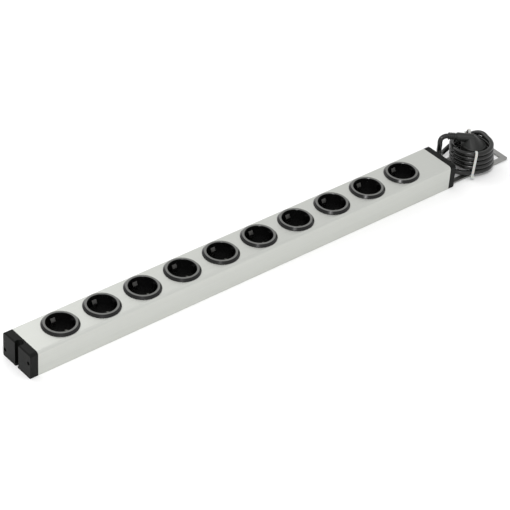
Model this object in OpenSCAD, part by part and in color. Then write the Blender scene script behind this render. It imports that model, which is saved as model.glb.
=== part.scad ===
// Ten-outlet power strip in an aluminium profile, with its mains lead coiled on a
// pull-out hanging bracket. Millimetres. X runs along the strip towards the lead,
// Y across it, Z up. The origin is under the middle of the profile, on the floor.

/* [Profile] */
// Length of the aluminium profile between its two end caps
profile_length = 723; // [700:1:900]
// Width of the profile
profile_width = 61; // [60:0.5:80]
// Height of the profile
profile_height = 38.5; // [38:0.5:50]
// Wall of the profile
profile_wall = 1.8; // [1.4:0.1:2.2]
// Radius along the two long top edges
top_edge_radius = 4.5; // [3:0.5:6]
// Radius along the two long bottom edges
bottom_edge_radius = 1.2; // [0.8:0.2:1.6]

/* [Sockets] */
// Distance between neighbouring socket centres
socket_pitch = 66.4; // [56:0.2:68]
// Distance from the near end of the profile to the first socket's centre
first_socket_inset = 56; // [40:0.5:60]
// Diameter of the round recess that a plug goes into
recess_diameter = 39.5; // [39:0.1:40]
// Depth of the recess below the top of its ring
recess_depth = 17.5; // [17:0.1:18]
// Wall of the cup around the recess
cup_wall = 1.5; // [1.3:0.1:2]
// Thickness of the recess floor
cup_floor = 2; // [1.6:0.1:2.4]
// Outer diameter of the raised ring
ring_diameter = 52; // [48:0.5:56]
// Diameter of the ring's flat top
ring_flat_diameter = 46; // [44:0.5:47]
// Height of the ring above the profile
ring_height = 4; // [3:0.5:5]
// Distance between a socket's two pin holes
pin_spacing = 19; // [19:0.1:19.2]
// Diameter of a pin hole
pin_hole_diameter = 5.4; // [5.2:0.1:5.8]
// Width of an earth clip
earth_clip_width = 7; // [6:0.5:8]

/* [Shutters] */
// Radius of a rotating shutter
shutter_radius = 14.5; // [13.5:0.5:14.5]
// Thickness of a shutter
shutter_thickness = 1.5; // [1.2:0.1:1.8]
// Radius of the pivot under the recess floor
shutter_pivot_radius = 2; // [1.6:0.1:2.4]
// Turn that brings a shutter's windows under the pin holes
shutter_travel = 30; // [28:1:40]

/* [End caps] */
// Length of the near end cap
near_cap_length = 12.5; // [12:0.5:16]
// Length of the far end cap
far_cap_length = 10; // [8:0.5:14]
// Radius of the screw well in the near cap
well_radius = 5.8; // [5:0.1:6]
// Distance from the near cap's face to the middle of its screw well
well_inset = 4.3; // [4:0.1:4.4]
// Width of the slot that the wall screw slides in
screw_slot_width = 5; // [4.5:0.1:5.5]
// Thickness of the floor under the screw well
well_floor = 3; // [2:0.5:4]
// Radius of an end cap screw's head
cap_screw_head_radius = 2.6; // [2.2:0.1:2.8]

/* [Hanging bracket] */
// Overall width of the bracket
bracket_width = 52; // [50:0.5:54]
// Width of the flat bar that the bracket is bent from
bracket_bar = 8; // [7:0.5:9]
// Thickness of the bar
bracket_thickness = 2; // [1.5:0.1:2.4]
// Distance that the pulled-out bracket reaches past the far cap
bracket_reach = 116; // [80:1:140]
// Length of a bracket leg that stays inside the profile
bracket_engagement = 42; // [20:1:80]

/* [Mains lead] */
// Diameter of the lead's sheath
cord_diameter = 7.4; // [6.8:0.1:7.6]
// Radius of a turn of the coil, at the middle of the cord
coil_turn_radius = 29.3; // [28.8:0.1:30.4]
// Radius of the plug's round face
plug_radius = 18.5; // [18:0.1:18.8]

/* [Hidden] */
$fn = 64;
eps = 0.01;
gap = 0.3;                       // clearance between neighbouring pieces
snug = 0.05;                     // running clearance of a pivot
socket_count = 10;

function two_digits(n) = str(n < 10 ? "0" : "", n);
function numbered(stem) = [for (n = [1 : socket_count]) str(stem, "_", two_digits(n))];

// Colours
aluminium = [0.80, 0.80, 0.78];
black_plastic = [0.13, 0.13, 0.13];
grey_plastic = [0.55, 0.55, 0.52];
brass = [0.80, 0.65, 0.30];
steel = [0.70, 0.71, 0.72];
black_rubber = [0.10, 0.10, 0.10];

// Places along the profile
half_length = profile_length / 2;
half_width = profile_width / 2;
near_face_x = -half_length - near_cap_length;
far_face_x = half_length + far_cap_length;
function socket_x(n) = -half_length + first_socket_inset + (n - 1) * socket_pitch;
last_socket_x = socket_x(socket_count);

// Grooves under the profile, which the bracket's legs slide in
lip_thickness = 1;
leg_centre_y = (bracket_width - bracket_bar) / 2;
groove_width = bracket_bar + 2 * gap;
groove_mouth = 4.8;
leg_bottom_z = lip_thickness + gap;
leg_top_z = leg_bottom_z + bracket_thickness;
groove_top_z = leg_top_z + gap;
groove_roof = 1.6;
inner_floor_z = groove_top_z + groove_roof;
valley_half_width = leg_centre_y - groove_width / 2 - profile_wall;

// Screw channels along the profile's two sides: [y, z]
channel_wall = 1.6;
channel_bore_radius = 1.6;
channel_radius = channel_bore_radius + channel_wall;
channel_y = half_width - profile_wall - channel_radius + 0.9;
channel_places = [[-channel_y, profile_height - 14.9], [channel_y, inner_floor_z + 5.8]];

// Socket cup, from its ring down
recess_radius = recess_diameter / 2;
lip_step = 0.4;                  // the recess widens by this below its lip
cup_bore_radius = recess_radius + lip_step;
cup_radius = cup_bore_radius + cup_wall;
cup_hole_radius = cup_radius + gap;
ring_top_z = profile_height + ring_height;
recess_floor_z = ring_top_z - recess_depth;
cup_bottom_z = recess_floor_z - cup_floor;
rim_bevel = 0.6;
ring_edge = 0.8;
snap_reach = 1.6;
snap_length = 3.2;
snap_angle = 16;
guide_rib = [2.2, 5];
clip_slot = [earth_clip_width + 1.2, 4.1];
clip_slot_inner_y = recess_radius - 0.5 - clip_slot[1];

// Shutter, contact carrier and rails, from the recess floor down
shutter_top_z = cup_bottom_z - gap;
shutter_bottom_z = shutter_top_z - shutter_thickness;
carrier_top_z = shutter_bottom_z - gap;
earth_strip = [10, 0.8];
carrier_bottom_z = inner_floor_z + earth_strip[1];
carrier_half_width = 15.5;
carrier_margin = min(30, socket_pitch / 2 - gap);
carrier_floor = 1.6;
pocket_bottom_z = carrier_bottom_z + carrier_floor;
pocket_clearance = 0.5;
pin_radius = 2.4;
rail_sheet = 0.8;
leaf_sheet = 0.7;
rail_y = 10.5;
rail_height = 6;
contact_width = 6;
contact_top_z = carrier_top_z - 1.4;
rail_end_x = last_socket_x + 34;
clip_root_y = 17.9;

// Where the lead leaves: a gland in the far cap
gland_y = -11.5;
gland_z = 11.2;
cord_radius = cord_diameter / 2;
gland_bore_radius = cord_radius + 0.15;
gland_neck_radius = cord_radius + 1.5;
gland_collar_radius = gland_neck_radius + 1.4;
gland_collar_length = 3;
gland_outside_length = 14;
gland_tip_x = far_face_x + gland_outside_length;
gland_flange_radius = 7.2;
cord_inner_end_x = half_length - 23.5;
shelf_thickness = 1.5;
clamp_width = 18;
shelf_width = 24;
clamp_length = 8;
clamp_screw_offset = 6;
clamp_rise = 5.2;

// Coil, lying on the bracket. X is measured from the far cap's face here, and in
// everything outside that cap. The stack leans: its top turn is shifted by coil_lean.
tie_strap = 1.1;
tie_width = 3.6;
tie_gap = 0.45;
strand_room = 0.5;               // more room round a strand that crosses a tie aslant
coil_centre = [59.3, -3.3];
coil_lean = [-2, 2.8];
coil_layers = 5;
first_turn_z = leg_top_z + tie_strap + tie_gap + 0.35 + cord_radius;
last_turn_z = first_turn_z + (coil_layers - 1) * cord_diameter;
coil_start_angle = -110;
coil_end_angle = -5;
function coil_point(angle, share) = [
    coil_centre[0] + (share - 0.5) * coil_lean[0] + coil_turn_radius * cos(angle),
    coil_centre[1] + (share - 0.5) * coil_lean[1] + coil_turn_radius * sin(angle),
    first_turn_z + share * (last_turn_z - first_turn_z)];

// Plug: the middle of its face, how it is turned, and its own sizes
plug_face = [61, -3, 24.9];
plug_heading = 141;
plug_tilt = 3;
plug_disc_thickness = 12.5;
plug_neck_height = 22;
plug_neck_radius = 6.5;
plug_neck_start = 2;
plug_neck_end = 26.5;
plug_relief_end = 40.3;
plug_pin_length = 19;
plug_flat_y = 17.2;
plug_axis = [cos(plug_heading) * cos(plug_tilt), sin(plug_heading) * cos(plug_tilt), sin(plug_tilt)];
plug_up = [-cos(plug_heading) * sin(plug_tilt), -sin(plug_heading) * sin(plug_tilt), cos(plug_tilt)];

// Lead from the gland's tip to the coil, and tail from the coil round to the plug
lead_route = [
    [gland_outside_length, gland_y, gland_z],
    [20, -14, 10], [26, -20, 9], [33, -25, 9], [40, -29, 9],
    coil_point(coil_start_angle, 0)];
tail_route = [
    coil_point(coil_end_angle, 1),
    [90, 8, 38], [88, 19, 34], [80, 28, 27], [70, 33, 22], [58, 35, 17], [45, 34, 13],
    [33, 31, 12], [24, 27, 16], [19, 24, 25], [18, 23, 36], [21, 25, 45], [26, 24, 48],
    plug_face + plug_relief_end * plug_axis + plug_neck_height * plug_up];
front_tied_point = lead_route[4];
rear_tied_point = tail_route[3];

// Extrudes a shape drawn as (y, z) along X, from x to x + length
module along_x(x, length) {
    translate([x, 0, 0]) rotate([90, 0, 90]) linear_extrude(length) children();
}

// Stands a shape that turns about its own Z on an X axis through (x, y, z)
module on_x_axis(x, y, z) {
    translate([x, y, z]) rotate([0, 90, 0]) children();
}

// Outline of the profile and its caps, shrunk evenly by inset
module body_outline(inset = 0) {
    side = half_width - inset;
    top = profile_height - inset;
    top_radius = top_edge_radius - min(inset, top_edge_radius - 1);
    low_radius = max(bottom_edge_radius - inset, 0.2);
    translate([-side, inset + low_radius]) square([2 * side, top - top_radius - inset - low_radius]);
    translate([-side + low_radius, inset]) square([2 * (side - low_radius), top - top_radius - inset]);
    translate([-side + top_radius, inset + low_radius])
        square([2 * (side - top_radius), top - inset - low_radius]);
    for (s = [-1, 1]) {
        translate([s * (side - top_radius), top - top_radius]) circle(top_radius);
        translate([s * (side - low_radius), inset + low_radius]) circle(low_radius);
    }
}

// One groove's section: a chamber and its mouth in the underside
module groove_section(side) {
    translate([side * leg_centre_y - groove_width / 2, lip_thickness])
        square([groove_width, groove_top_z - lip_thickness]);
    translate([side * leg_centre_y - groove_mouth / 2, -eps])
        square([groove_mouth, lip_thickness + 2 * eps]);
}

module profile_section() {
    difference() {
        body_outline();
        intersection() {
            body_outline(profile_wall);
            union() {
                translate([-half_width, inner_floor_z]) square([profile_width, profile_height]);
                translate([-valley_half_width, profile_wall])
                    square([2 * valley_half_width, profile_height]);
            }
        }
        for (side = [-1, 1]) groove_section(side);
    }
    for (place = channel_places) translate(place) difference() {
        circle(channel_radius);
        circle(channel_bore_radius);
    }
}

module profile() {
    color(aluminium) difference() {
        along_x(-half_length, profile_length) profile_section();
        for (n = [1 : socket_count])
            translate([socket_x(n), 0, profile_height - profile_wall - 1])
                cylinder(r = cup_hole_radius, h = profile_wall + 2);
        for (place = channel_places)
            along_x(-half_length - 1, profile_length + 2) translate(place) circle(channel_bore_radius);
    }
}

// The part of a cap that plugs into the profile
module spigot_section() {
    half = channel_y - channel_radius - gap;
    low = inner_floor_z + gap;
    high = profile_height - profile_wall - gap;
    wall = 2;
    difference() {
        translate([-half, low]) square([2 * half, high - low]);
        translate([-half + wall, low + wall]) square([2 * (half - wall), high - low - 2 * wall]);
    }
}

// Holes for a cap's two screws: a through hole and a recess for the head at the outer face
module cap_screw_holes(face_x, inwards, length) {
    recess = cap_screw_seat + 1.8;
    for (place = channel_places) {
        on_x_axis(min(face_x, face_x + inwards * length), place[0], place[1])
            cylinder(r = channel_bore_radius + 0.2, h = length);
        on_x_axis(min(face_x, face_x + inwards * recess), place[0], place[1])
            cylinder(r = cap_screw_head_radius + 0.2, h = recess);
    }
}

spigot_length = 6;
cap_screw_seat = 2.2;            // depth of a screw head's top below the cap's face

module near_end_cap() {
    well_x = near_face_x + well_inset;
    chamfer = 1.6;               // along the top of the outer face
    color(black_plastic) difference() {
        union() {
            along_x(near_face_x, near_cap_length) body_outline();
            along_x(-half_length - eps, spigot_length) spigot_section();
        }
        translate([well_x, 0, well_floor]) cylinder(r = well_radius, h = profile_height);
        translate([well_x, 0, -1]) cylinder(r = screw_slot_width / 2, h = well_floor + 2);
        translate([near_face_x - 1, -screw_slot_width / 2, -1])
            cube([well_inset + 1, screw_slot_width, well_floor + 2]);
        translate([near_face_x, 0, profile_height]) rotate([0, 45, 0])
            cube([chamfer * sqrt(2), profile_width + 2, chamfer * sqrt(2)], center = true);
        cap_screw_holes(near_face_x, 1, near_cap_length + eps);
    }
}

module far_end_cap() {
    color(black_plastic) difference() {
        union() {
            along_x(half_length, far_cap_length) body_outline();
            along_x(half_length - spigot_length, spigot_length + eps) spigot_section();
            // shelf that the cord clamp screws down on
            translate([cord_inner_end_x + 2, gland_y - shelf_width / 2, gland_z - cord_radius - shelf_thickness])
                cube([half_length - cord_inner_end_x, shelf_width, shelf_thickness]);
        }
        for (side = [-1, 1])
            translate([half_length - 1, side * leg_centre_y - groove_width / 2, leg_bottom_z - gap])
                cube([far_cap_length + 2, groove_width, groove_top_z - lip_thickness]);
        on_x_axis(half_length - 1, gland_y, gland_z) cylinder(r = gland_neck_radius + 0.2, h = far_cap_length + 2);
        // way through the spigot for the cord, above the shelf
        on_x_axis(half_length - spigot_length - 1, gland_y, gland_z + gap / 2)
            cylinder(r = cord_radius + gap / 2, h = spigot_length + 1);
        on_x_axis(half_length - gland_collar_length - gap, gland_y, gland_z)
            cylinder(r = gland_collar_radius + gap, h = gland_collar_length + gap);
        for (side = [-1, 1])
            translate([clamp_x(), gland_y + side * clamp_screw_offset, gland_z - cord_radius - shelf_thickness - 1])
                cylinder(r = 1.3, h = shelf_thickness + 2);
        cap_screw_holes(far_face_x, -1, far_cap_length + eps);
    }
}

// Pan-head screw along +X, the head's outer face at the origin
module cap_screw() {
    head_height = 1.8;
    difference() {
        union() {
            cylinder(r = cap_screw_head_radius, h = head_height);
            cylinder(r = channel_bore_radius - 0.05, h = head_height + 16);
        }
        for (turn = [0, 90]) rotate([0, 0, turn]) translate([-1.6, -0.35, -eps]) cube([3.2, 0.7, 1.1]);
    }
}

module end_cap_screws() {
    color(steel) for (place = channel_places) {
        on_x_axis(near_face_x + cap_screw_seat, place[0], place[1]) cap_screw();
        on_x_axis(far_face_x - cap_screw_seat, place[0], place[1]) mirror([0, 0, 1]) cap_screw();
    }
}

// Cup and ring as turned on a lathe, with its pivot for the shutter
module socket_shell() {
    rotate_extrude() polygon([
        [0, shutter_bottom_z + eps], [shutter_pivot_radius, shutter_bottom_z + eps],
        [shutter_pivot_radius, cup_bottom_z], [cup_radius, cup_bottom_z], [cup_radius, profile_height],
        [ring_diameter / 2, profile_height], [ring_diameter / 2, profile_height + ring_edge],
        [ring_flat_diameter / 2, ring_top_z], [recess_radius + rim_bevel, ring_top_z],
        [recess_radius, ring_top_z - rim_bevel], [recess_radius, profile_height],
        [cup_bore_radius, profile_height - lip_step], [cup_bore_radius, recess_floor_z],
        [0, recess_floor_z]]);
}

module socket_insert(n) {
    snap_top = profile_height - profile_wall - gap;
    color(black_plastic) translate([socket_x(n), 0, 0]) {
        difference() {
            socket_shell();
            for (side = [-1, 1]) {
                translate([side * pin_spacing / 2, 0, cup_bottom_z - 1])
                    cylinder(d = pin_hole_diameter, h = cup_floor + 2);
                translate([-clip_slot[0] / 2, side > 0 ? clip_slot_inner_y : -clip_slot_inner_y - clip_slot[1],
                           cup_bottom_z - 1])
                    cube([clip_slot[0], clip_slot[1], cup_floor + 2]);
            }
        }
        for (side = [-1, 1]) intersection() {
            cylinder(r = recess_radius + cup_wall / 2, h = profile_height);
            translate([side * (recess_radius - guide_rib[0] / 2 + 0.4) - guide_rib[0] / 2 - 0.4,
                       -guide_rib[1] / 2, recess_floor_z - 1])
                cube([guide_rib[0] + 0.8, guide_rib[1], profile_height - recess_floor_z + 1]);
        }
        for (turn = [45 : 90 : 315]) rotate([0, 0, turn - snap_angle / 2]) rotate_extrude(angle = snap_angle)
            polygon([[cup_radius - 0.5, snap_top - snap_length], [cup_radius, snap_top - snap_length],
                     [cup_radius + snap_reach, snap_top], [cup_radius - 0.5, snap_top]]);
    }
}

module shutter(n) {
    window_radius = pin_hole_diameter / 2 + 0.5;
    color(grey_plastic) translate([socket_x(n), 0, shutter_bottom_z]) difference() {
        cylinder(r = shutter_radius, h = shutter_thickness);
        translate([0, 0, -1]) cylinder(r = shutter_pivot_radius + snug, h = shutter_thickness + 2);
        for (turn = [0, 180]) rotate([0, 0, turn - shutter_travel]) {
            translate([pin_spacing / 2, 0, -1]) cylinder(r = window_radius, h = shutter_thickness + 2);
            // ramp that the pin pushes on
            translate([pin_spacing / 2, window_radius - 0.8, shutter_thickness])
                rotate([24, 0, 0]) translate([-2.2, -3.2, -0.8]) cube([4.4, 3.2, 2]);
        }
    }
}

// Moulded block with an open pocket for each rail, under sockets first to last
module contact_carrier(first, last) {
    start_x = socket_x(first) - carrier_margin;
    length = socket_x(last) - socket_x(first) + 2 * carrier_margin;
    pocket_width = rail_sheet + 2 * pocket_clearance;
    well_length = contact_width + 2 * pocket_clearance;
    well_reach = rail_y + rail_sheet / 2 + pin_radius + leaf_sheet + 2 * pocket_clearance;
    color(grey_plastic) difference() {
        translate([start_x, -carrier_half_width, carrier_bottom_z])
            cube([length, 2 * carrier_half_width, carrier_top_z - carrier_bottom_z]);
        for (side = [-1, 1]) {
            translate([start_x - 1, side * rail_y - pocket_width / 2, pocket_bottom_z])
                cube([length + 2, pocket_width, profile_height]);
            for (n = [first : last])
                translate([socket_x(n) + side * pin_spacing / 2 - well_length / 2,
                           side > 0 ? rail_y + pocket_width / 2 - well_reach : -rail_y - pocket_width / 2,
                           pocket_bottom_z])
                    cube([well_length, well_reach, profile_height]);
        }
    }
}

module contact_carrier_near() {
    contact_carrier(1, 5);
}

module contact_carrier_far() {
    contact_carrier(6, socket_count);
}

// Brass strip with a pair of spring leaves for each pin; side is -1 for live, 1 for neutral
module contact_rail(side) {
    base_z = pocket_bottom_z + gap;
    reach = rail_y + rail_sheet / 2 + pin_radius + leaf_sheet;
    start_x = socket_x(1) + side * pin_spacing / 2 - contact_width / 2;
    color(brass) {
        translate([start_x, side * rail_y - rail_sheet / 2, base_z])
            cube([rail_end_x - start_x, rail_sheet, rail_height]);
        for (n = [1 : socket_count]) translate([socket_x(n) + side * pin_spacing / 2 - contact_width / 2, 0, base_z]) {
            translate([0, side > 0 ? rail_y + rail_sheet / 2 - reach : -rail_y - rail_sheet / 2, 0])
                cube([contact_width, reach, rail_sheet]);
            for (leaf = [-1, 1])
                translate([0, leaf * (pin_radius + leaf_sheet / 2) - leaf_sheet / 2, 0])
                    cube([contact_width, leaf_sheet, contact_top_z - base_z]);
        }
    }
}

module live_rail() {
    contact_rail(-1);
}

module neutral_rail() {
    contact_rail(1);
}

// Section of an earth clip on the +Y side, from the strip up into the recess
module clip_section() {
    sheet = earth_strip[1];
    bend_z = recess_floor_z + 1.5;
    touch_z = ring_top_z - 10.5;
    tip_z = ring_top_z - 5.5;
    touch_y = clip_root_y - 2.5;
    polygon([
        [clip_root_y, inner_floor_z], [clip_root_y + sheet, inner_floor_z],
        [clip_root_y + sheet, bend_z], [touch_y + sheet, touch_z],
        [clip_root_y + sheet, tip_z - 0.4], [clip_root_y + 0.1, tip_z],
        [touch_y, touch_z], [clip_root_y, bend_z - 0.2]]);
}

module earth_rail() {
    start_x = socket_x(1) - earth_clip_width / 2;
    color(steel) {
        translate([start_x, -earth_strip[0] / 2, inner_floor_z])
            cube([rail_end_x - start_x, earth_strip[0], earth_strip[1]]);
        for (n = [1 : socket_count]) {
            translate([socket_x(n) - earth_clip_width / 2, -clip_root_y - eps, inner_floor_z])
                cube([earth_clip_width, 2 * (clip_root_y + eps), earth_strip[1]]);
            for (side = [0, 1]) mirror([0, side, 0])
                along_x(socket_x(n) - earth_clip_width / 2, earth_clip_width) clip_section();
        }
    }
}

// Sweeps a round tube along a route: each ring stands square to the route there, and
// its first corner is carried along from the ring before, so that the tube doesn't twist
function unit(v) = v / norm(v);
function heading(route, i) = unit(route[min(i + 1, len(route) - 1)] - route[max(i - 1, 0)]);
function squared(v, direction) = unit(v - (v * direction) * direction);
// Middle of each stretch, so that a short list of points gives a smooth tube
function midpoint(a, b, c, d) = (9 * (b + c) - a - d) / 16;
function refine(route) = [for (i = [0 : len(route) - 1], half = [0 : (i < len(route) - 1 ? 1 : 0)])
    half == 0 ? route[i] : midpoint(
        i > 0 ? route[i - 1] : 2 * route[0] - route[1], route[i], route[i + 1],
        i + 2 < len(route) ? route[i + 2] : 2 * route[i + 1] - route[i])];
// First and last heading of a tube can be given, so that its ends meet their neighbours squarely
module tube(route, radius, sides = 12, first = undef, last = undef) {
    count = len(route);
    function along(i) = i == 0 && first != undef ? unit(first)
        : i >= count - 1 && last != undef ? unit(last) : heading(route, min(i, count - 1));
    corners = [for (i = 0, u = squared([0, 0.3, 1], along(0)); i < count; i = i + 1, u = squared(u, along(i))) u];
    function ring(i) = let (u = corners[i], v = cross(along(i), u))
        [for (k = [0 : sides - 1]) route[i]
            + radius * (u * cos(360 * k / sides) + v * sin(360 * k / sides))];
    points = [for (i = [0 : count - 1]) each ring(i)];
    walls = [for (i = [0 : count - 2], k = [0 : sides - 1])
        let (a = i * sides + k, b = i * sides + (k + 1) % sides) [a, b, b + sides, a + sides]];
    start = [[for (k = [sides - 1 : -1 : 0]) k]];
    end = [[for (k = [0 : sides - 1]) (count - 1) * sides + k]];
    polyhedron(points, concat(walls, start, end), convexity = 6);
}

// The three conductors, from the end of the sheath to the ends of the rails
wire_radius = 1.15;
wire_spread = 1.6;
module conductor(angle, rail_place, colour) {
    begin = [cord_inner_end_x, gland_y + wire_spread * cos(angle), gland_z + wire_spread * sin(angle)];
    stop = [rail_end_x, rail_place[0], rail_place[1]];
    lead_in = [-3, 0, 0];
    color(colour) tube([begin, begin + lead_in, (begin + lead_in + stop - lead_in) / 2, stop - lead_in, stop],
        wire_radius, 8, [-1, 0, 0], [-1, 0, 0]);
}

module live_wire() {
    conductor(150, [-rail_y, pocket_bottom_z + rail_height / 2 + gap], [0.35, 0.20, 0.10]);
}

module neutral_wire() {
    conductor(30, [rail_y, pocket_bottom_z + rail_height / 2 + gap], [0.10, 0.25, 0.60]);
}

module earth_wire() {
    conductor(270, [0, inner_floor_z + wire_radius], [0.45, 0.60, 0.15]);
}

// Sheathed end of the lead, from the wires out through the gland
module cord_entry() {
    color(black_rubber) on_x_axis(cord_inner_end_x, gland_y, gland_z)
        cylinder(r = cord_radius, h = gland_tip_x - cord_inner_end_x);
}

function clamp_x() = cord_inner_end_x + 8;

module cord_clamp() {
    foot = 0.6;
    color(grey_plastic) difference() {
        translate([clamp_x() - clamp_length / 2, gland_y - clamp_width / 2, gland_z - cord_radius + foot])
            cube([clamp_length, clamp_width, cord_radius + clamp_rise - foot]);
        on_x_axis(clamp_x() - clamp_length, gland_y, gland_z) cylinder(r = cord_radius + snug, h = 2 * clamp_length);
        translate([clamp_x() - clamp_length, gland_y - cord_radius - snug, gland_z - 2 * cord_radius])
            cube([2 * clamp_length, 2 * (cord_radius + snug), 2 * cord_radius]);
        for (side = [-1, 1]) translate([clamp_x(), gland_y + side * clamp_screw_offset, 0])
            cylinder(r = 1.4, h = profile_height);
    }
}

module cord_clamp_screws() {
    head_z = gland_z + clamp_rise;
    color(steel) for (side = [-1, 1])
        translate([clamp_x(), gland_y + side * clamp_screw_offset, 0]) difference() {
            union() {
                translate([0, 0, gland_z - cord_radius - shelf_thickness + 0.5])
                    cylinder(r = 1.25, h = head_z - gland_z + cord_radius + shelf_thickness - 0.5);
                translate([0, 0, head_z]) cylinder(r = 2.4, h = 1.8);
            }
            translate([-2, -0.3, head_z + 0.9]) cube([4, 0.6, 2]);
        }
}

// Rubber bush: collar inside the cap, neck through it, flange and tapered boot outside
module cord_gland() {
    boot_radius = cord_radius + 2.6;
    tip_radius = cord_radius + 1;
    color(black_rubber) on_x_axis(0, gland_y, gland_z) rotate_extrude() polygon([
        [gland_bore_radius, half_length - gland_collar_length],
        [gland_collar_radius, half_length - gland_collar_length],
        [gland_collar_radius, half_length - gap], [gland_neck_radius, half_length - gap],
        [gland_neck_radius, far_face_x + gap], [gland_flange_radius, far_face_x + gap],
        [gland_flange_radius, far_face_x + 2.2], [boot_radius, far_face_x + 3],
        [tip_radius, gland_tip_x - 0.6], [tip_radius - 0.6, gland_tip_x], [gland_bore_radius, gland_tip_x]]);
}

// Puts its children, drawn with X from the far cap's face, in place
module outside_far_cap() {
    translate([far_face_x, 0, 0]) children();
}

module cord_lead() {
    color(black_rubber) outside_far_cap() tube(refine(lead_route), cord_radius, 12, [1, 0, 0]);
}

module cord_tail() {
    color(black_rubber) outside_far_cap() tube(refine(tail_route), cord_radius, 12, undef, -plug_axis);
}

// Section of the coil, as (distance from its axis, z)
module coil_section() {
    translate([coil_turn_radius - cord_radius, first_turn_z]) square([cord_diameter, last_turn_z - first_turn_z]);
    for (z = [first_turn_z, last_turn_z]) translate([coil_turn_radius, z]) circle(cord_radius);
}

module cord_coil() {
    color(black_rubber) outside_far_cap() translate([coil_centre[0], coil_centre[1], 0])
        rotate_extrude() coil_section();
}

// Everything on the plug is drawn with its face down, the pins along -Z and the lead leaving along +X
module place_plug() {
    outside_far_cap() translate(plug_face) rotate([0, 0, plug_heading]) rotate([0, -plug_tilt, 0]) children();
}

module plug_body() {
    rim = 1;
    back_inset = 1.5;            // the sloping back starts this far inside the disc's edge
    back_sink = 0.6;             // and this far below the surfaces that it grows out of
    color(black_rubber) place_plug() difference() {
        union() {
            rotate_extrude() polygon([
                [0, 0], [plug_radius - rim / 2, 0], [plug_radius, rim / 2],
                [plug_radius, plug_disc_thickness - rim],
                [plug_radius - rim, plug_disc_thickness], [0, plug_disc_thickness]]);
            on_x_axis(plug_neck_start, 0, plug_neck_height)
                cylinder(r = plug_neck_radius, h = plug_neck_end - plug_neck_start);
            // back, which slopes from the neck down to the rim of the disc
            hull() {
                translate([0, 0, plug_disc_thickness - back_sink])
                    cylinder(r = plug_radius - back_inset, h = back_sink / 2);
                on_x_axis(plug_neck_start + back_sink, 0, plug_neck_height)
                    cylinder(r = plug_neck_radius - back_sink / 2, h = 6, $fn = 32);
            }
        }
        // flats with a groove for each earth contact
        for (side = [-1, 1]) {
            translate([side > 0 ? plug_flat_y : -plug_flat_y - 5, -4.2, -1]) cube([5, 8.4, plug_disc_thickness - 1]);
            translate([0, side * pin_spacing / 2, -1]) cylinder(r = pin_radius + 0.02, h = 8);
        }
    }
}

module plug_pins() {
    color(steel) place_plug() for (side = [-1, 1]) translate([0, side * pin_spacing / 2, 0]) {
        translate([0, 0, -plug_pin_length + 1]) cylinder(r = pin_radius, h = plug_pin_length + 5.5);
        translate([0, 0, -plug_pin_length]) cylinder(r1 = pin_radius - 1, r2 = pin_radius, h = 1);
    }
}

module plug_earth_contacts() {
    sheet = 0.7;
    color(steel) place_plug() for (side = [-1, 1])
        translate([side > 0 ? plug_flat_y + 0.02 : -plug_flat_y - sheet - 0.02, -3.4, 0.6])
            cube([sheet, 6.8, plug_disc_thickness - 3]);
}

module plug_relief() {
    length = plug_relief_end - plug_neck_end;
    ribs = 5;
    core_start = 4.4;
    core_end = 4.1;
    rib_rise = 1.3;
    spacing = length / ribs;
    function core(at) = core_start + (core_end - core_start) * at / length;
    color(black_rubber) place_plug() on_x_axis(plug_neck_end, 0, plug_neck_height) rotate_extrude()
        polygon(concat([[0, 0]],
            [for (k = [0 : ribs - 1]) let (at = k * spacing) each [
                [core(at) + rib_rise, at], [core(at) + rib_rise, at + spacing * 0.55],
                [core(at), at + spacing * 0.62], [core(at), at + spacing * 0.98]]],
            [[core_end, length], [0, length]]));
}

// Strap pulled round the coil and the strand that passes at tied_point, leaning by slant,
// with its head further out than the strand by head_reach and its foot at head_z
module tie(tied_point, slant, head_reach, head_z) {
    head = [4.6, 5, 4.2];
    middle = [coil_turn_radius, 0, (first_turn_z + last_turn_z) / 2];
    offset = [tied_point[0] - coil_centre[0], tied_point[1] - coil_centre[1]];
    strand = [norm(offset), max(tied_point[2], first_turn_z)];
    module loop(grow, width) {
        rotate([90, 0, 0]) translate([0, 0, -width / 2]) linear_extrude(width) hull() {
            for (z = [first_turn_z, last_turn_z])
                translate([coil_turn_radius, z]) circle(cord_radius + grow);
            translate(strand) circle(cord_radius + strand_room + grow);
        }
    }
    color("white") outside_far_cap() translate([coil_centre[0], coil_centre[1], 0])
        rotate([0, 0, atan2(offset[1], offset[0])])
        translate(middle) rotate([slant, 0, 0]) translate(-middle) difference() {
            union() {
                loop(tie_gap + tie_strap, tie_width);
                translate([strand[0] + head_reach, -head[1] / 2, head_z]) cube(head);
            }
            loop(tie_gap, 2 * tie_width);
        }
}

module front_tie() {
    tie(front_tied_point, -5, 4.7, 3.8);
}

module rear_tie() {
    tie(rear_tied_point, 0, 4.7, 25);
}

// Two legs that slide in the grooves, joined by a cross-bar
module hanging_bracket() {
    corner = 3;
    end_x = far_face_x + bracket_reach;
    start_x = half_length - bracket_engagement;
    color(steel) translate([0, 0, leg_bottom_z]) difference() {
        linear_extrude(bracket_thickness) difference() {
            union() {
                translate([start_x, -bracket_width / 2]) square([end_x - corner - start_x, bracket_width]);
                translate([start_x, -bracket_width / 2 + corner]) square([end_x - start_x, bracket_width - 2 * corner]);
                for (side = [-1, 1]) translate([end_x - corner, side * (bracket_width / 2 - corner)]) circle(corner);
            }
            translate([start_x - 1, -bracket_width / 2 + bracket_bar])
                square([end_x - bracket_bar - start_x + 1, bracket_width - 2 * bracket_bar]);
        }
        for (side = [-1, 1]) translate([stud_x(), side * leg_centre_y, -1])
            cylinder(r = stud_shank_radius + 0.02, h = bracket_thickness + 2);
    }
}

stud_shank_radius = 1.2;
stud_head_radius = 2;
function stud_x() = half_length - stud_head_radius - gap;

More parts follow.
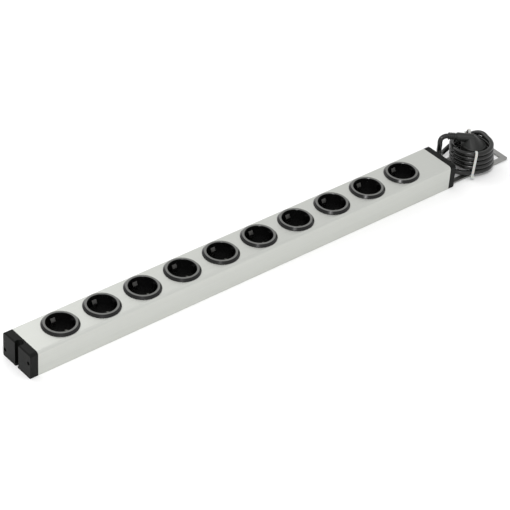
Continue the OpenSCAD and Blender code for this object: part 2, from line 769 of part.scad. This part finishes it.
// Riveted studs that stop the bracket against the far cap
module bracket_stop_studs() {
    color(steel) for (side = [-1, 1]) translate([stud_x(), side * leg_centre_y, 0]) {
        translate([0, 0, 0.3]) cylinder(r = stud_head_radius, h = leg_bottom_z - 0.3);
        translate([0, 0, leg_bottom_z]) cylinder(r = stud_shank_radius, h = bracket_thickness);
    }
}

profile();
near_end_cap();
far_end_cap();
end_cap_screws();
for (n = [1 : socket_count]) {
    socket_insert(n);
    shutter(n);
}
contact_carrier_near();
contact_carrier_far();
live_rail();
neutral_rail();
earth_rail();
live_wire();
neutral_wire();
earth_wire();
cord_entry();
cord_clamp();
cord_clamp_screws();
cord_gland();
cord_lead();
cord_coil();
cord_tail();
plug_relief();
plug_body();
plug_pins();
plug_earth_contacts();
front_tie();
rear_tie();
hanging_bracket();
bracket_stop_studs();
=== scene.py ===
from math import cos, radians, sin

import bmesh
import bpy
from mathutils import Matrix, Vector


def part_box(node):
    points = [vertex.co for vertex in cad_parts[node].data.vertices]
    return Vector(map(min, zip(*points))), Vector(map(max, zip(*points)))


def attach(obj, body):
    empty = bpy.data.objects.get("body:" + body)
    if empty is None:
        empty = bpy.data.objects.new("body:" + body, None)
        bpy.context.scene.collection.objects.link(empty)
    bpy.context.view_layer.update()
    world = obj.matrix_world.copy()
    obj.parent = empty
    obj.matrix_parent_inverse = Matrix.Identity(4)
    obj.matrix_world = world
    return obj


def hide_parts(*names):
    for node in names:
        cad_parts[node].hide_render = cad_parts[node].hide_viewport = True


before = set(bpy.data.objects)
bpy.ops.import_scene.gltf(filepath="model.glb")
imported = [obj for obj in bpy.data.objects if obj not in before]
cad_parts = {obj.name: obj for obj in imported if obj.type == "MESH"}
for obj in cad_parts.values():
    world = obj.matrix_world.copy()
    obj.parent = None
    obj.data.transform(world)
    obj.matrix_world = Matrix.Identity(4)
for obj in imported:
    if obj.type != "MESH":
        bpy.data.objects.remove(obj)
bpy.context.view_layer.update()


# The profile is one length of extruded aluminium, cut square and satin anodised. The die
# leaves faint lines along it, and handling leaves soft marks. Every other piece is fixed
# to it or slides in it.

class Wire:
    """A socket in a material, so that shader maths can be written as an expression."""

    def __init__(self, socket):
        self.socket = socket
        self.tree = socket.id_data

    def put(self, kind, settings, sockets, out=0):
        """Adds a node: its settings first, then its sockets' values or links."""
        node = self.tree.nodes.new("ShaderNode" + kind)
        for name, value in settings.items():
            setattr(node, name, value)
        for name, value in sockets.items():
            if isinstance(value, Wire):
                self.tree.links.new(value.socket, node.inputs[name])
            else:
                node.inputs[name].default_value = value
        return Wire(node.outputs[out])

    def maths(self, operation, other):
        return self.put("Math", {"operation": operation}, {0: self, 1: other})

    def __add__(self, other):
        return self.maths("ADD", other)

    __radd__ = __add__

    def __mul__(self, other):
        return self.maths("MULTIPLY", other)

    __rmul__ = __mul__

    def feeds(self, shader, name):
        self.tree.links.new(self.socket, shader.inputs[name])


def new_finish(name, steady):
    """A material with its steady values set, its shader, and the place on the piece."""
    material = bpy.data.materials.new(name)
    material.use_nodes = True
    shader = material.node_tree.nodes["Principled BSDF"]
    for socket, value in steady.items():
        shader.inputs[socket].default_value = value
    place = Wire(material.node_tree.nodes.new("ShaderNodeTexCoord").outputs["Object"])
    return material, shader, place


def grain(place, scale, detail=3.0, stretch=(1, 1, 1)):
    """Noise from 0 to 1, with scale features a metre, drawn out where stretch is small."""
    mapped = place.put("Mapping", {}, {"Vector": place, "Scale": stretch})
    return place.put("TexNoise", {}, {"Vector": mapped, "Scale": scale, "Detail": detail})


def shade(share, low, high):
    """From the low colour to the high one as share goes from 0 to 1."""
    factor, first_colour, second_colour, mixed_colour = 0, 6, 7, 2
    return share.put(
        "Mix", {"data_type": "RGBA"},
        {factor: share, first_colour: (*low, 1), second_colour: (*high, 1)},
        out=mixed_colour)


def dent(height, depth):
    """A relief of so many metres for the surface's normal."""
    return height.put("Bump", {}, {"Height": height, "Distance": depth, "Strength": 1.0})


def dress(piece, material):
    """Gives every slot of a piece that comes from the CAD model one material."""
    if not piece.material_slots:
        piece.data.materials.append(None)
    for spot in piece.material_slots:
        spot.link = "OBJECT"
        spot.material = material


same_point = 1e-6
flat_within = radians(0.5)
sharp_over = radians(28)


def softened(node, name, edge, material, body="strip"):
    """A copy of a CAD part whose sharp edges are rounded, which stands for that part."""
    shape = bmesh.new()
    shape.from_mesh(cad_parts[node].data)
    bmesh.ops.remove_doubles(shape, verts=shape.verts, dist=same_point)
    bmesh.ops.dissolve_limit(shape, angle_limit=flat_within,
                             verts=shape.verts, edges=shape.edges)
    data = bpy.data.meshes.new(name)
    shape.to_mesh(data)
    shape.free()
    data.shade_smooth()
    piece = bpy.data.objects.new(name, data)
    bpy.context.scene.collection.objects.link(piece)
    rounding = piece.modifiers.new("rounding", "BEVEL")
    rounding.limit_method = "ANGLE"
    rounding.angle_limit = sharp_over
    rounding.width = edge
    rounding.segments = 2
    rounding.harden_normals = True
    flats = piece.modifiers.new("flats", "WEIGHTED_NORMAL")
    flats.keep_sharp = True
    data.materials.append(material)
    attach(piece, body)
    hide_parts(node)
    return piece


def satin_aluminium():
    material, shader, place = new_finish("satin_aluminium", {"Metallic": 0.92})
    die_lines = grain(place, 1, 4, (6, 1400, 1400))
    marks = grain(place, 28, 3)
    shade(die_lines, (0.52, 0.53, 0.50), (0.62, 0.63, 0.60)).feeds(shader, "Base Color")
    (0.36 + 0.12 * die_lines + 0.10 * marks).feeds(shader, "Roughness")
    dent(die_lines, 0.00002).feeds(shader, "Normal")
    return material


softened("profile", "extruded_profile", 0.00015, satin_aluminium())


# The two end caps are injection moulded in black plastic with a fine matt grain. Each
# plugs into the profile and is held by two screws. The near one has the round well and
# the slot that hang the strip on a wall screw.

def matt_plastic():
    material, shader, place = new_finish("matt_plastic", {"Specular IOR Level": 0.12})
    mould_grain = grain(place, 2600, 2)
    handling = grain(place, 45, 4)
    shade(handling, (0.002, 0.0023, 0.002), (0.006, 0.0064, 0.0058)).feeds(
        shader, "Base Color")
    (0.38 + 0.16 * handling + 0.06 * mould_grain).feeds(shader, "Roughness")
    dent(mould_grain, 0.00004).feeds(shader, "Normal")
    return material


cap_finish = matt_plastic()
cap_edge = 0.0005
softened("near_end_cap", "near_cap", cap_edge, cap_finish)
softened("far_end_cap", "far_cap", cap_edge, cap_finish)


# Four black zinc plated pan-head screws with a cross recess, two through each cap into the
# profile's screw channels. The clamp's two screws are of the same steel.

def zinc_plate(name, low, high):
    material, shader, place = new_finish(name, {"Metallic": 1.0})
    rolled = grain(place, 1, 3, (30, 900, 900))
    spangle = grain(place, 240, 2)
    shade(spangle, low, high).feeds(shader, "Base Color")
    (0.30 + 0.14 * rolled + 0.08 * spangle).feeds(shader, "Roughness")
    dent(rolled, 0.00001).feeds(shader, "Normal")
    return material


screw_finish = zinc_plate("screw_steel", (0.035, 0.035, 0.035), (0.07, 0.07, 0.068))
softened("end_cap_screws", "cap_screws", 0.0001, screw_finish)
dress(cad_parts["cord_clamp_screws"], screw_finish)


# Ten socket inserts, moulded in semi-gloss black plastic and snapped into the profile's
# round holes. Each has a raised ring whose top flat is painted mottled grey as a painted
# highlight, a recess with two guide ribs, two pin holes and slots for the earth clips.

def glossy_plastic():
    material, shader, place = new_finish("glossy_plastic", {"Specular IOR Level": 0.3})
    flow = grain(place, 60, 4)
    fine = grain(place, 1800, 2)
    height = place.put("SeparateXYZ", {}, {"Vector": place}, out="Z")
    ring_flat = height.maths("GREATER_THAN", ring_top - ring_flat_depth)
    # painted highlight: the ring's top flat is painted a finely mottled grey for the light
    # it catches
    painted_ring_highlight = ring_flat * (0.55 + 0.45 * fine)
    shade(painted_ring_highlight + 0.02 * flow, (0.002, 0.002, 0.002), (0.15, 0.152, 0.145)).feeds(
        shader, "Base Color")
    (0.16 + 0.10 * flow + 0.22 * ring_flat).feeds(shader, "Roughness")
    dent(fine, 0.00002).feeds(shader, "Normal")
    return material


ring_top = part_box("socket_insert_01")[1].z
ring_flat_depth = 0.0002
socket_edge = 0.0003
socket_numbers = [f"{number:02d}" for number in range(1, 11)]
socket_finish = glossy_plastic()
for number in socket_numbers:
    softened("socket_insert_" + number, "socket_" + number, socket_edge, socket_finish)


# A shutter turns under each recess and closes its pin holes. The two contact carriers
# under them are plain grey mouldings, and so is the clamp on the lead.

def grey_moulding():
    material, shader, place = new_finish("grey_moulding", {})
    mottle = grain(place, 90, 4)
    fine = grain(place, 1500, 2)
    shade(mottle, (0.13, 0.13, 0.12), (0.20, 0.20, 0.185)).feeds(shader, "Base Color")
    (0.42 + 0.16 * mottle).feeds(shader, "Roughness")
    dent(fine, 0.00003).feeds(shader, "Normal")
    return material


grey_finish = grey_moulding()
for name in ["shutter_" + number for number in socket_numbers] + [
        "contact_carrier_near", "contact_carrier_far", "cord_clamp"]:
    dress(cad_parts[name], grey_finish)


# Live and neutral rails are rolled brass with spring leaves for the pins. The earth rail
# is nickel plated spring strip, bent up into two clips in every recess, and its clips
# are the bright metal seen at the recess walls.

def rolled_brass():
    material, shader, place = new_finish("rolled_brass", {"Metallic": 1.0})
    rolled = grain(place, 1, 3, (12, 1100, 1100))
    tarnish = grain(place, 75, 4)
    shade(tarnish, (0.62, 0.44, 0.17), (0.78, 0.60, 0.28)).feeds(shader, "Base Color")
    (0.24 + 0.18 * rolled).feeds(shader, "Roughness")
    dent(rolled, 0.00001).feeds(shader, "Normal")
    return material


brass_finish = rolled_brass()
for name in ["live_rail", "neutral_rail"]:
    dress(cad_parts[name], brass_finish)
clip_finish = zinc_plate("clip_steel", (0.12, 0.12, 0.115), (0.20, 0.198, 0.19))
dress(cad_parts["earth_rail"], clip_finish)


# Three insulated conductors run from the end of the sheath to the rails: brown live,
# blue neutral, and green and yellow earth, whose stripe winds along it.

def insulation(name, low, high, bands=0):
    material, shader, place = new_finish(name, {})
    wax = grain(place, 400, 3)
    share = wax
    if bands:
        share = place.put("TexWave", {"wave_type": "BANDS", "bands_direction": "DIAGONAL"},
                          {"Vector": place, "Scale": bands, "Distortion": 0.5})
    shade(share, low, high).feeds(shader, "Base Color")
    (0.34 + 0.14 * wax).feeds(shader, "Roughness")
    dent(wax, 0.00001).feeds(shader, "Normal")
    return material


brown_finish = insulation("brown_wire", (0.07, 0.022, 0.008), (0.11, 0.035, 0.012))
dress(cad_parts["live_wire"], brown_finish)
blue_finish = insulation("blue_wire", (0.01, 0.05, 0.24), (0.02, 0.08, 0.33))
dress(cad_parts["neutral_wire"], blue_finish)
striped_finish = insulation("earth_wire", (0.03, 0.22, 0.03), (0.62, 0.55, 0.02), bands=160)
dress(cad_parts["earth_wire"], striped_finish)


# The mains lead has a smooth black rubber sheath. It leaves the far cap through a tapered
# rubber gland, is wound into five layers lying on the bracket, and its free end loops
# over behind the coil to the plug in the middle.

def sheath_rubber():
    material, shader, place = new_finish("sheath_rubber", {"Specular IOR Level": 0.42})
    bloom = grain(place, 70, 5)
    fine = grain(place, 1300, 3)
    shade(bloom, (0.003, 0.0033, 0.003), (0.009, 0.0094, 0.0088)).feeds(
        shader, "Base Color")
    (0.17 + 0.12 * bloom + 0.03 * fine).feeds(shader, "Roughness")
    dent(fine, 0.00003).feeds(shader, "Normal")
    return material


def from_cap(point):
    """A point given in millimetres, with X from the far cap's face."""
    return Vector((far_face + point[0] / 1000, point[1] / 1000, point[2] / 1000))


def coil_point(turned):
    """Middle of the cord once it has turned so many degrees. Each turn lies level while
    the strand under it does, then climbs a diameter. The stack leans a little."""
    turns, part = divmod(turned / 360, 1)
    level = coil_overlap / 360
    rise = max(0, (part - level) / (1 - level))
    layer = turns + rise * rise * (3 - 2 * rise)
    share = layer / (coil_layers - 1)
    angle = radians(coil_start_angle + turned)
    return Vector((
        coil_middle.x + (share - 0.5) * coil_lean[0] + turn_radius * cos(angle),
        coil_middle.y + (share - 0.5) * coil_lean[1] + turn_radius * sin(angle),
        first_turn_z + layer * cord_diameter))


far_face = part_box("far_end_cap")[1].x
gland_low, gland_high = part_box("cord_gland")
gland_tip = Vector((gland_high.x, (gland_low.y + gland_high.y) / 2,
                    (gland_low.z + gland_high.z) / 2))
cord_diameter = 0.0074
coil_low, coil_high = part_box("cord_coil")
coil_middle = (coil_low + coil_high) / 2
turn_radius = (coil_high.x - coil_low.x) / 2 - cord_diameter / 2
first_turn_z = coil_low.z + cord_diameter / 2
coil_lean = (-0.002, 0.0028)
coil_layers = 5
coil_start_angle = -110
coil_end_angle = -5
coil_overlap = coil_end_angle - coil_start_angle
coil_turning = 360 * (coil_layers - 1) + coil_overlap
coil_steps = 70

# from here to the tail's points, places and lengths are in millimetres, with X from the
# far cap's face, as the CAD model has them
plug_face = Vector((61, -3, 24.9))
plug_heading = radians(141)
plug_tilt = radians(3)
plug_neck_height = 22
plug_relief_end = 40.3
plug_axis = Vector((cos(plug_heading) * cos(plug_tilt), sin(plug_heading) * cos(plug_tilt),
                    sin(plug_tilt)))
plug_up = Vector((-cos(plug_heading) * sin(plug_tilt), -sin(plug_heading) * sin(plug_tilt),
                  cos(plug_tilt)))
lead_points = [(20, -14, 10), (26, -20, 9), (33, -25, 9), (40, -29, 9)]
tail_points = [
    (90, 8, 38), (88, 19, 34), (80, 28, 27), (70, 33, 22), (58, 35, 17), (45, 34, 13),
    (33, 31, 12), (24, 27, 16), (19, 24, 25), (18, 23, 36), (21, 25, 45), (26, 24, 48)]
relief_end = from_cap(plug_face + plug_relief_end * plug_axis + plug_neck_height * plug_up)

route = [gland_tip]
route += [from_cap(point) for point in lead_points]
route += [coil_point(coil_turning * step / coil_steps) for step in range(coil_steps + 1)]
route += [from_cap(point) for point in tail_points]
route += [relief_end]

line = bpy.data.curves.new("mains_lead", "CURVE")
line.dimensions = "3D"
line.bevel_depth = cord_diameter / 2
steps_round = 6
steps_along = 6
line.bevel_resolution = steps_round
line.resolution_u = steps_along
line.use_fill_caps = True
spline = line.splines.new("BEZIER")
spline.bezier_points.add(len(route) - 1)
for knot, point in zip(spline.bezier_points, route):
    knot.co = point
    knot.handle_left_type = knot.handle_right_type = "AUTO"
sheath_finish = sheath_rubber()
line.materials.append(sheath_finish)
mains_lead = bpy.data.objects.new("mains_lead", line)
bpy.context.scene.collection.objects.link(mains_lead)
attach(mains_lead, "strip")
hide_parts("cord_lead", "cord_coil", "cord_tail")
dress(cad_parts["cord_entry"], sheath_finish)
softened("cord_gland", "lead_gland", 0.0003, sheath_finish)


# The plug is an angled earthed one, moulded onto the lead in black rubber, with a ribbed
# strain relief. Its two pins and its two side contacts are nickel plated.

def plug_rubber():
    material, shader, place = new_finish("plug_rubber", {"Specular IOR Level": 0.34})
    mould_grain = grain(place, 1900, 2)
    bloom = grain(place, 110, 5)
    shade(bloom, (0.008, 0.0085, 0.008), (0.018, 0.0188, 0.0178)).feeds(
        shader, "Base Color")
    (0.36 + 0.16 * bloom + 0.05 * mould_grain).feeds(shader, "Roughness")
    dent(mould_grain, 0.00005).feeds(shader, "Normal")
    return material


plug_finish = plug_rubber()
plug_moulding = softened("plug_body", "plug_moulding", 0.0008, plug_finish)
plug_boot = softened("plug_relief", "plug_boot", 0.0002, plug_finish)
pin_finish = zinc_plate("plated_pins", (0.52, 0.52, 0.50), (0.66, 0.66, 0.64))
for name in ["plug_pins", "plug_earth_contacts"]:
    dress(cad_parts[name], pin_finish)


# Two white nylon cable ties hold the coil together, each pulled through its own head.
# The front one also holds the lead, and the rear one the strand that goes to the plug.

def white_nylon():
    material, shader, place = new_finish("white_nylon", {"Subsurface Weight": 0.15,
                                                         "Subsurface Scale": 0.001})
    cloudy = grain(place, 160, 3)
    teeth = place.put("TexWave", {"bands_direction": "Z"},
                      {"Vector": place, "Scale": 260, "Distortion": 0.3})
    shade(cloudy, (0.46, 0.46, 0.44), (0.56, 0.56, 0.54)).feeds(shader, "Base Color")
    (0.32 + 0.14 * cloudy).feeds(shader, "Roughness")
    dent(teeth, 0.00006).feeds(shader, "Normal")
    return material


tie_finish = white_nylon()
tie_edge = 0.0003
softened("front_tie", "front_cable_tie", tie_edge, tie_finish)
softened("rear_tie", "rear_cable_tie", tie_edge, tie_finish)


# The hanging bracket is bent from zinc plated flat bar. Its two legs slide in the grooves
# under the profile, and riveted studs stop them at the far cap.

bracket_finish = zinc_plate("bracket_steel", (0.26, 0.26, 0.255), (0.36, 0.36, 0.35))
softened("hanging_bracket", "bracket_bar", 0.0003, bracket_finish, "bracket")
dress(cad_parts["bracket_stop_studs"], bracket_finish)


# The strip lies on a plain pale floor under soft white light from all round, with one
# large lamp behind it that the socket rings catch, and one over the camera's shoulder.

def pale_floor():
    material, shader, place = new_finish("pale_floor", {"Roughness": 0.9})
    cloudy = grain(place, 2, 3)
    shade(cloudy, (0.90, 0.90, 0.90), (0.94, 0.94, 0.94)).feeds(shader, "Base Color")
    return material


def lamp(name, place, aim, width, power):
    light = bpy.data.lights.new(name, "AREA")
    light.shape = "DISK"
    light.size = width
    light.energy = power
    shining = bpy.data.objects.new(name, light)
    shining.location = place
    shining.rotation_euler = (Vector(place) - Vector(aim)).to_track_quat("Z", "Y").to_euler()
    bpy.context.scene.collection.objects.link(shining)


floor_shape = bmesh.new()
floor_reach = 8
floor_squares = 8
bmesh.ops.create_grid(floor_shape, x_segments=floor_squares, y_segments=floor_squares,
                      size=floor_reach)
floor_mesh = bpy.data.meshes.new("studio_floor")
floor_shape.to_mesh(floor_mesh)
floor_shape.free()
floor_mesh.materials.append(pale_floor())
studio_floor = bpy.data.objects.new("studio_floor", floor_mesh)
bpy.context.scene.collection.objects.link(studio_floor)

lamp("rear_lamp", place=(-0.1, 1.6, 1.4), aim=(-0.2, 0, 0), width=1.6, power=9)
lamp("shoulder_lamp", place=(-0.9, -1.0, 2.3), aim=(0, 0, 0), width=0.5, power=26)

sky_strength = 0.9
sky = bpy.data.worlds.new("white_studio")
sky.use_nodes = True
sky.node_tree.nodes["Background"].inputs["Color"].default_value = (1, 1, 1, 1)
sky.node_tree.nodes["Background"].inputs["Strength"].default_value = sky_strength
bpy.context.scene.world = sky
bpy.context.scene.view_settings.view_transform = "Standard"


# The camera stands to the left of the near end, well back with a long lens, and is
# rolled a little.

camera_place = (-1.5736, -1.7916, 1.8087)
camera_azimuth = radians(-41.17)
camera_elevation = radians(37.24)
camera_roll = radians(3.66)
focal_length = 153.5
sensor_width = 36
lens_shift = (0.0325, 0.0244)
backward = Vector((sin(camera_azimuth) * cos(camera_elevation),
                   -cos(camera_azimuth) * cos(camera_elevation), sin(camera_elevation)))
level_right = Vector((cos(camera_azimuth), sin(camera_azimuth), 0))
level_up = backward.cross(level_right)
right = cos(camera_roll) * level_right + sin(camera_roll) * level_up
up = -sin(camera_roll) * level_right + cos(camera_roll) * level_up
lens = bpy.data.cameras.new("camera")
lens.lens = focal_length
lens.sensor_width = sensor_width
lens.shift_x, lens.shift_y = lens_shift
camera = bpy.data.objects.new("camera", lens)
camera.matrix_world = (Matrix.Translation(camera_place)
                       @ Matrix((right, up, backward)).transposed().to_4x4())
bpy.context.scene.collection.objects.link(camera)
bpy.context.scene.camera = camera
